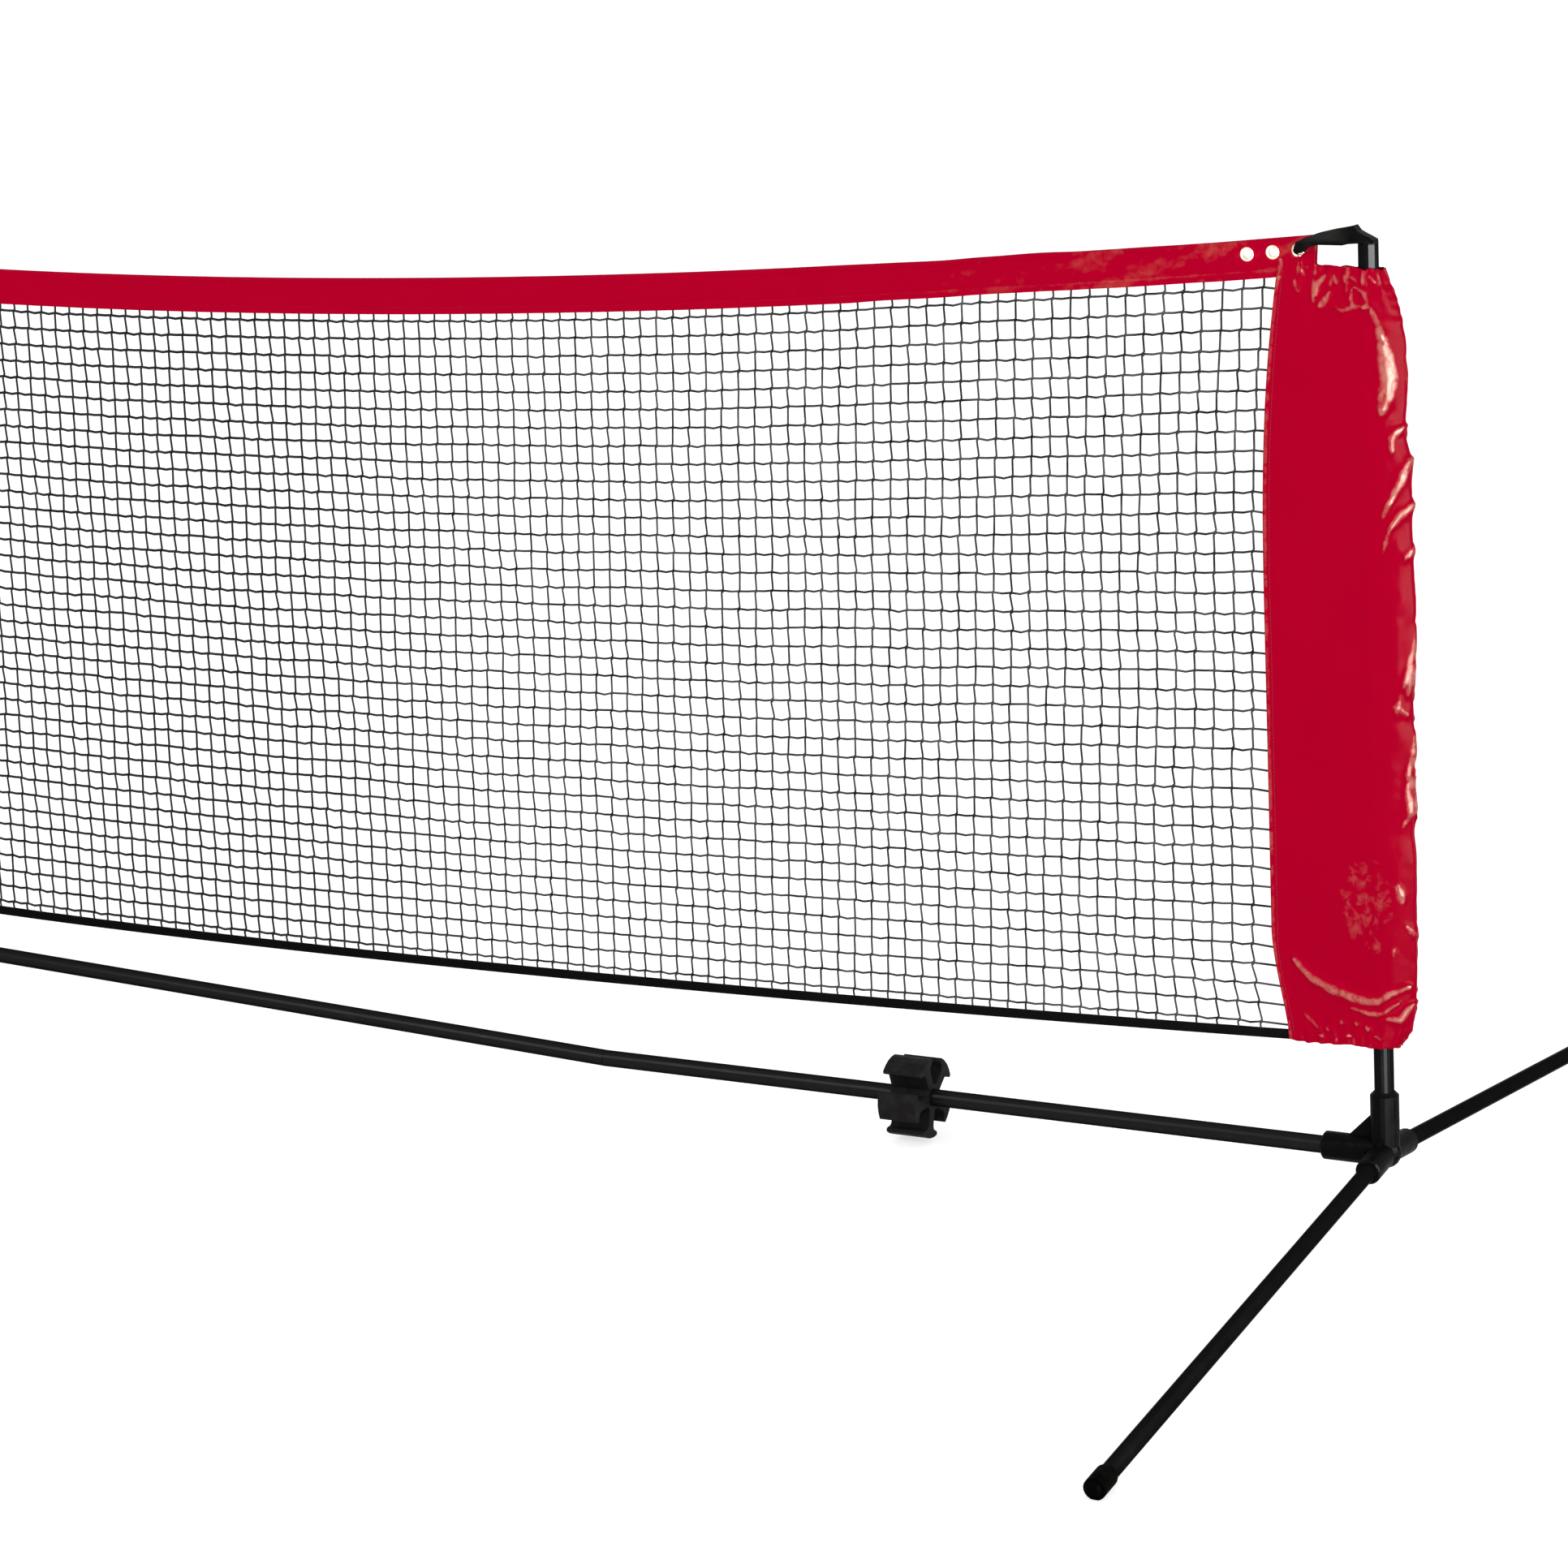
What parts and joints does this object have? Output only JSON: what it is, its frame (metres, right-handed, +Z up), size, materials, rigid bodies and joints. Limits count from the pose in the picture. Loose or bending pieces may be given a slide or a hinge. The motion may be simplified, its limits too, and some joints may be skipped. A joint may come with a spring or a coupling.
{
  "type": "portable badminton net",
  "caption": "Free-standing low badminton net: sagging mesh between two red post sleeves on a black tube base with splayed legs.",
  "frame": {"origin": "on the floor under the middle of the net", "axes": "+X along the net to the right post, +Y to the back leg, +Z up"},
  "size_m": [3.2694, 1.358, 0.8757],
  "materials": {
    "sleeve_vinyl": "glossy coated fabric",
    "band_vinyl": "glossy coated fabric",
    "net_cord": "matte twisted cord",
    "hem_tape": "woven tape",
    "post_steel": "semi-gloss black",
    "frame_steel": "semi-gloss black",
    "connector_plastic": "moulded black",
    "cap_plastic": "moulded black",
    "clip_plastic": "moulded black",
    "hook_plastic": "moulded black",
    "eyelet_metal": "plated and dull"
  },
  "bodies": {
    "root": {"net_mesh": "net_cord", "top_band": "band_vinyl", "bottom_hem": "hem_tape", "sleeve_right": "sleeve_vinyl", "sleeve_left": "sleeve_vinyl", "post_right": "post_steel", "post_left": "post_steel", "tension_hook_right": "hook_plastic", "tension_hook_left": "hook_plastic", "corner_connector_right": "connector_plastic", "corner_connector_left": "connector_plastic", "base_tube_outer_right": "frame_steel", "base_tube_outer_left": "frame_steel", "base_tube_inner_right": "frame_steel", "base_tube_inner_left": "frame_steel", "eyelet_right_1": "eyelet_metal", "eyelet_right_2": "eyelet_metal", "eyelet_right_3": "eyelet_metal", "eyelet_left_1": "eyelet_metal", "eyelet_left_2": "eyelet_metal", "eyelet_left_3": "eyelet_metal"},
    "leg_front_right": {"leg_tube_front_right": "frame_steel", "foot_cap_front_right": "cap_plastic"},
    "leg_front_left": {"leg_tube_front_left": "frame_steel", "foot_cap_front_left": "cap_plastic"},
    "leg_back_right": {"leg_tube_back_right": "frame_steel", "foot_cap_back_right": "cap_plastic"},
    "leg_back_left": {"leg_tube_back_left": "frame_steel", "foot_cap_back_left": "cap_plastic"},
    "clip_right": {"storage_clip_right": "clip_plastic"},
    "clip_left": {"storage_clip_left": "clip_plastic"}
  },
  "joints": [
    {"name": "leg_front_right_slide", "type": "slide", "parent": "root", "child": "leg_front_right", "axis": [0.0376, -0.996, -0.0816], "range_m": [0, 0.032]},
    {"name": "leg_front_left_slide", "type": "slide", "parent": "root", "child": "leg_front_left", "axis": [-0.0376, -0.996, -0.0816], "range_m": [0, 0.032]},
    {"name": "leg_back_right_slide", "type": "slide", "parent": "root", "child": "leg_back_right", "axis": [0.0376, 0.996, -0.0816], "range_m": [0, 0.032]},
    {"name": "leg_back_left_slide", "type": "slide", "parent": "root", "child": "leg_back_left", "axis": [-0.0376, 0.996, -0.0816], "range_m": [0, 0.032]},
    {"name": "clip_right_slide", "type": "slide", "parent": "root", "child": "clip_right", "axis": [0.999, 0, 0.045], "range_m": [-0.1, 0.38]},
    {"name": "clip_left_slide", "type": "slide", "parent": "root", "child": "clip_left", "axis": [-0.999, 0, 0.045], "range_m": [-0.1, 0.38]}
  ]
}
